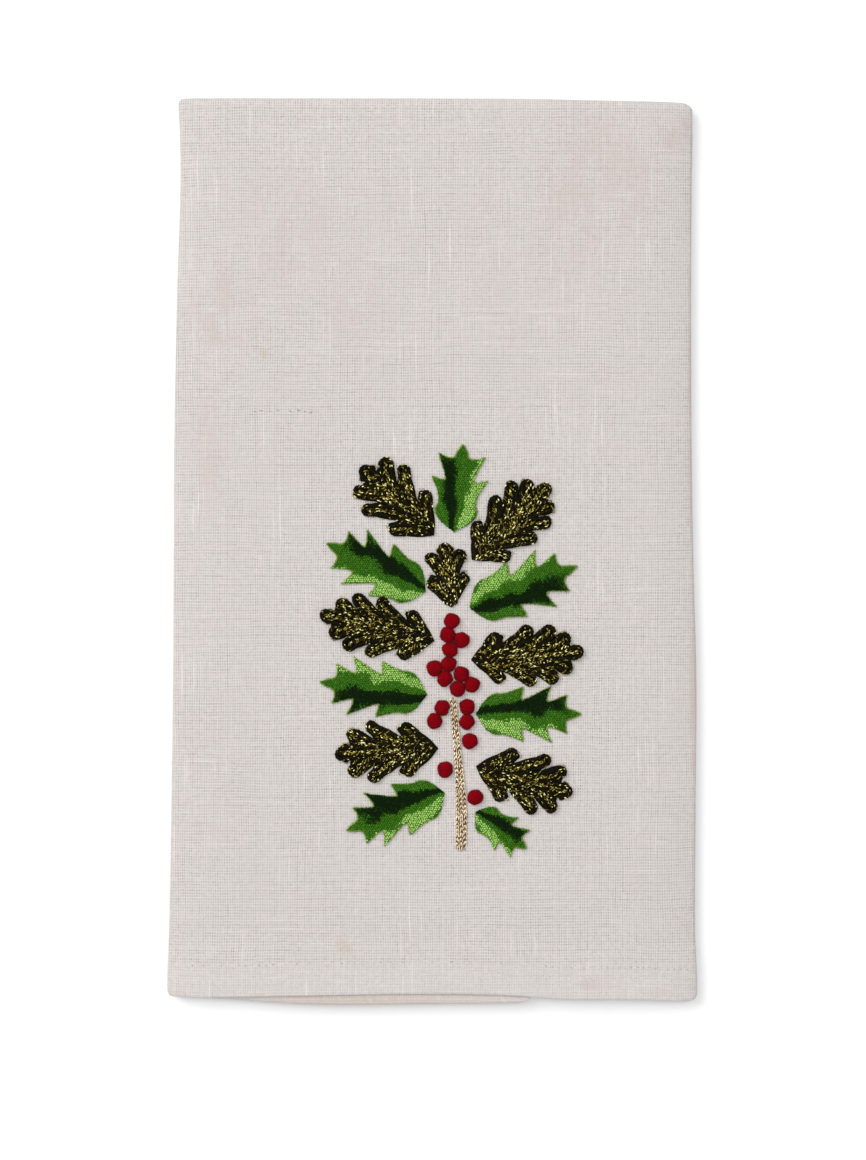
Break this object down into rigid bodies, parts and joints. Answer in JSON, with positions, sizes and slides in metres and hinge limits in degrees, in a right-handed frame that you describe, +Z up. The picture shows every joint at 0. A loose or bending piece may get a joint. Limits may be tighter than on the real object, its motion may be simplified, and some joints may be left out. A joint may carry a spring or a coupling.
{
  "type": "folded tea towel with an embroidered holly sprig",
  "caption": "Tea towel of slubbed plain cloth, sides folded behind and then folded in half, with a raised holly sprig in cord, chenille and metallic thread on its face.",
  "frame": {"origin": "centre of the footprint, on the surface that the towel lies on", "axes": "+X to the right and +Y up the front face, from the hems to the middle fold; +Z up, out of the face with the sprig"},
  "size_m": [0.21, 0.359, 0.0108],
  "materials": {
    "cloth": "pale stone linen look, open plain weave with slubs",
    "dark_cord": "dark olive cord twisted with gold metallic thread, worked in rows",
    "green_chenille": "shaded green chenille moss stitch, soft pile",
    "red_tuft": "crimson cut pile tufts",
    "pale_gold_thread": "pale gold metallic chain stitch"
  },
  "bodies": {
    "root": {"towel": "cloth", "leaf_green_1": "green_chenille", "leaf_green_2": "green_chenille", "leaf_green_3": "green_chenille", "leaf_green_4": "green_chenille", "leaf_green_5": "green_chenille", "leaf_green_6": "green_chenille", "leaf_green_7": "green_chenille", "leaf_dark_1": "dark_cord", "leaf_dark_2": "dark_cord", "leaf_dark_3": "dark_cord", "leaf_dark_4": "dark_cord", "leaf_dark_5": "dark_cord", "leaf_dark_6": "dark_cord", "leaf_dark_7": "dark_cord", "berry_01": "red_tuft", "berry_02": "red_tuft", "berry_03": "red_tuft", "berry_04": "red_tuft", "berry_05": "red_tuft", "berry_06": "red_tuft", "berry_07": "red_tuft", "berry_08": "red_tuft", "berry_09": "red_tuft", "berry_10": "red_tuft", "berry_11": "red_tuft", "berry_12": "red_tuft", "berry_13": "red_tuft", "berry_14": "red_tuft", "berry_15": "red_tuft", "berry_16": "red_tuft", "berry_17": "red_tuft", "stem": "pale_gold_thread"}
  },
  "joints": []
}
